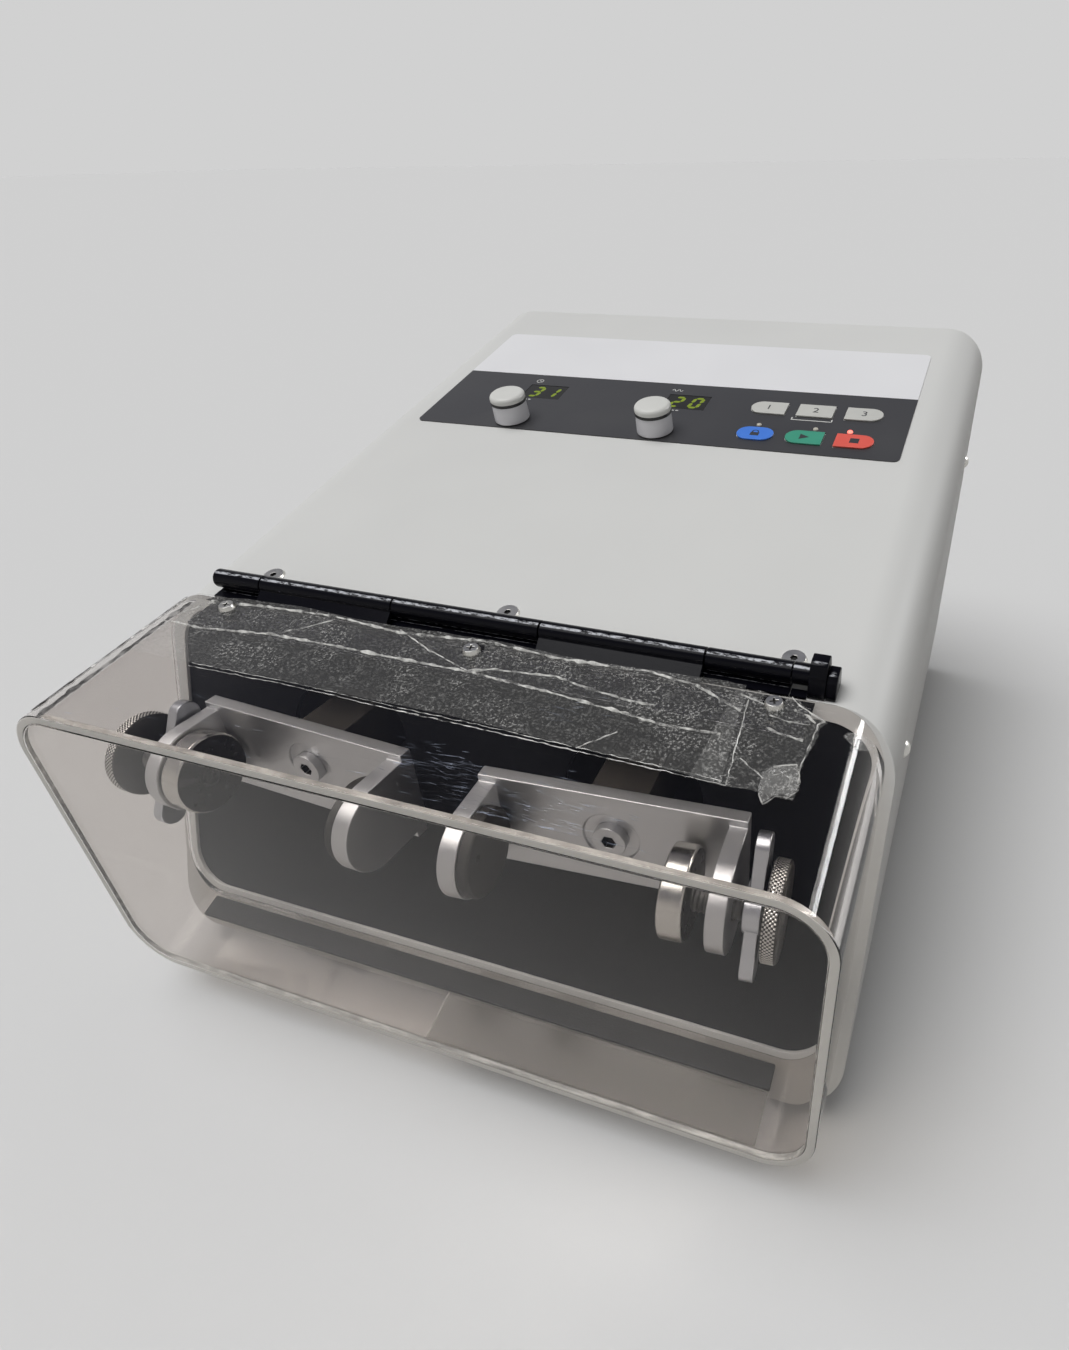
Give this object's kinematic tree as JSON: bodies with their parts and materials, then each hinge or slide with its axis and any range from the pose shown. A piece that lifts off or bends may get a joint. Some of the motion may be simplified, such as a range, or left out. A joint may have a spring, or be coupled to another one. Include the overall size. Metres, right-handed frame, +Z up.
{
  "type": "mixer mill",
  "caption": "Bench-top mixer mill: sloped housing with control panel, hinged clear hood, and paired swinging jar clamps with screw jaws and wing lock levers.",
  "frame": {"origin": "middle of the outer size seen from above, on the bench plane under the feet", "axes": "+Z up, front with the clear hood faces -Y, +X to the right when facing the front"},
  "size_m": [0.3756, 0.461, 0.266],
  "materials": {
    "shell_paint": "satin light grey paint",
    "plain_steel": "bright steel",
    "black_panel": "fine matt black",
    "rear_paint": "satin light grey paint",
    "black_rubber": "matt",
    "hinge_black": "glossy black",
    "clear_acrylic": "clear",
    "foam": "open foam",
    "clamp_alloy": "satin machined",
    "jaw_pad": "matt",
    "cast_alloy": "as cast",
    "motor_paint": "black",
    "label_print": "satin film",
    "knob_grey": "light grey",
    "knob_black": "matt",
    "cap_white": "off-white",
    "part_black": "moulded",
    "display_glass": "dark window",
    "lamp_red": "clear",
    "board_green": "solder mask",
    "key_grey": "satin",
    "key_blue": "satin",
    "key_green": "satin",
    "key_red": "satin"
  },
  "bodies": {
    "housing": {"housing_shell": "shell_paint", "chassis_plate": "plain_steel", "front_panel": "black_panel", "rear_panel": "rear_paint", "feet": "black_rubber", "stiffener_bar": "plain_steel", "top_screws": "plain_steel", "side_screws": "plain_steel", "hinge_leaf_body": "hinge_black", "hinge_pin": "hinge_black", "drive_frame": "cast_alloy", "frame_columns": "plain_steel", "pivot_shafts": "plain_steel", "motor_body": "motor_paint", "control_label": "label_print", "encoders": "part_black", "displays": "display_glass", "indicator_leds": "lamp_red", "control_board": "board_green", "board_standoffs": "plain_steel", "mains_inlet": "part_black", "switch_housing": "part_black", "power_supply": "plain_steel"},
    "hood": {"hood_tube": "clear_acrylic", "hood_front_plate": "clear_acrylic", "hood_screws": "plain_steel", "hinge_leaf_hood": "hinge_black", "floor_strip": "foam"},
    "drive_shaft": {"eccentric_shaft": "plain_steel"},
    "power_switch": {"power_rocker": "part_black"},
    "rocker_left": {"rocker_arm_left": "cast_alloy", "clamp_yoke_left": "clamp_alloy", "yoke_screw_left": "plain_steel", "fixed_jaw_left": "jaw_pad"},
    "jaw_left": {"moving_jaw_left": "plain_steel"},
    "spindle_left": {"clamp_spindle_left": "plain_steel", "spindle_knob_left": "plain_steel"},
    "lever_left": {"lock_lever_left": "clamp_alloy"},
    "rod_left": {"connecting_rod_left": "cast_alloy"},
    "rocker_right": {"rocker_arm_right": "cast_alloy", "clamp_yoke_right": "clamp_alloy", "yoke_screw_right": "plain_steel", "fixed_jaw_right": "jaw_pad"},
    "jaw_right": {"moving_jaw_right": "plain_steel"},
    "spindle_right": {"clamp_spindle_right": "plain_steel", "spindle_knob_right": "plain_steel"},
    "lever_right": {"lock_lever_right": "clamp_alloy"},
    "rod_right": {"connecting_rod_right": "cast_alloy"},
    "knob_left": {"knob_body_left": "knob_grey", "knob_ring_left": "knob_black", "knob_cap_left": "cap_white"},
    "knob_right": {"knob_body_right": "knob_grey", "knob_ring_right": "knob_black", "knob_cap_right": "cap_white"},
    "memory_key_1": {"memory_key_1": "key_grey"},
    "memory_key_2": {"memory_key_2": "key_grey"},
    "memory_key_3": {"memory_key_3": "key_grey"},
    "lock_key": {"lock_key": "key_blue"},
    "start_key": {"start_key": "key_green"},
    "stop_key": {"stop_key": "key_red"}
  },
  "joints": [
    {"name": "hood_hinge", "type": "hinge", "parent": "housing", "child": "hood", "pos_m": [0, -0.12671, 0.19662], "axis": [-1, 0, 0], "range_deg": [0, 105]},
    {"name": "drive_shaft_spin", "type": "hinge", "parent": "housing", "child": "drive_shaft", "pos_m": [0, -0.04759, 0.13263], "axis": [0, 0, 1], "continuous": true},
    {"name": "power_switch_turn", "type": "hinge", "parent": "housing", "child": "power_switch", "pos_m": [0.066, 0.2185, 0.056], "axis": [1, 0, 0], "range_deg": [0, 15]},
    {"name": "rocker_left_swing", "type": "hinge", "parent": "housing", "child": "rocker_left", "pos_m": [-0.072, -0.0975, 0.13263], "axis": [0, 0, 1], "range_deg": [-0.5, 7.5]},
    {"name": "jaw_left_slide", "type": "slide", "parent": "rocker_left", "child": "jaw_left", "axis": [0.9981, -0.061, 0], "range_m": [-0.0007, 0.012]},
    {"name": "spindle_left_turn", "type": "hinge", "parent": "jaw_left", "child": "spindle_left", "pos_m": [-0.0781, -0.19731, 0.13263], "axis": [0.9981, -0.061, 0], "range_deg": [-156, 2190]},
    {"name": "lock_lever_left_turn", "type": "hinge", "parent": "rocker_left", "child": "lever_left", "pos_m": [-0.0781, -0.19731, 0.13263], "axis": [0.9981, -0.061, 0], "range_deg": [-10, 55]},
    {"name": "rod_left_pin", "type": "hinge", "parent": "rocker_left", "child": "rod_left", "pos_m": [-0.06895, -0.04759, 0.13263], "axis": [0, 0, 1], "range_deg": [-8, 8]},
    {"name": "rocker_right_swing", "type": "hinge", "parent": "housing", "child": "rocker_right", "pos_m": [0.072, -0.0975, 0.13263], "axis": [0, 0, 1], "range_deg": [-7.5, 0.5]},
    {"name": "jaw_right_slide", "type": "slide", "parent": "rocker_right", "child": "jaw_right", "axis": [-0.9981, -0.061, 0], "range_m": [-0.0087, 0.001]},
    {"name": "spindle_right_turn", "type": "hinge", "parent": "jaw_right", "child": "spindle_right", "pos_m": [0.0781, -0.19731, 0.13263], "axis": [-0.9981, -0.061, 0], "range_deg": [-1596, 210]},
    {"name": "lock_lever_right_turn", "type": "hinge", "parent": "rocker_right", "child": "lever_right", "pos_m": [0.0781, -0.19731, 0.13263], "axis": [-0.9981, -0.061, 0], "range_deg": [-55, 10]},
    {"name": "rod_right_pin", "type": "hinge", "parent": "rocker_right", "child": "rod_right", "pos_m": [0.06895, -0.04759, 0.13263], "axis": [0, 0, 1], "range_deg": [-8, 8]},
    {"name": "knob_left_turn", "type": "hinge", "parent": "housing", "child": "knob_left", "pos_m": [-0.0895, 0.06096, 0.23814], "axis": [0, -0.2079, 0.9781], "continuous": true},
    {"name": "knob_right_turn", "type": "hinge", "parent": "housing", "child": "knob_right", "pos_m": [0.0075, 0.06096, 0.23814], "axis": [0, -0.2079, 0.9781], "continuous": true},
    {"name": "memory_key_1_press", "type": "slide", "parent": "housing", "child": "memory_key_1", "axis": [0, 0.2079, -0.9781], "range_m": [0, 0.0005], "stiffness_N_per_m": 800},
    {"name": "memory_key_2_press", "type": "slide", "parent": "housing", "child": "memory_key_2", "axis": [0, 0.2079, -0.9781], "range_m": [0, 0.0005], "stiffness_N_per_m": 800},
    {"name": "memory_key_3_press", "type": "slide", "parent": "housing", "child": "memory_key_3", "axis": [0, 0.2079, -0.9781], "range_m": [0, 0.0005], "stiffness_N_per_m": 800},
    {"name": "lock_key_press", "type": "slide", "parent": "housing", "child": "lock_key", "axis": [0, 0.2079, -0.9781], "range_m": [0, 0.0005], "stiffness_N_per_m": 800},
    {"name": "start_key_press", "type": "slide", "parent": "housing", "child": "start_key", "axis": [0, 0.2079, -0.9781], "range_m": [0, 0.0005], "stiffness_N_per_m": 800},
    {"name": "stop_key_press", "type": "slide", "parent": "housing", "child": "stop_key", "axis": [0, 0.2079, -0.9781], "range_m": [0, 0.0005], "stiffness_N_per_m": 800}
  ],
  "couplings": [
    {"joint": "spindle_left_turn", "follows": "jaw_left_slide", "rad_per_m": 3141.6},
    {"joint": "spindle_right_turn", "follows": "jaw_right_slide", "rad_per_m": 3141.6},
    {"joint": "rocker_left_swing", "follows": "rocker_right_swing", "ratio": -1},
    {"joint": "rod_right_pin", "follows": "rocker_right_swing", "ratio": -1},
    {"joint": "rod_left_pin", "follows": "rocker_right_swing", "ratio": 1}
  ]
}
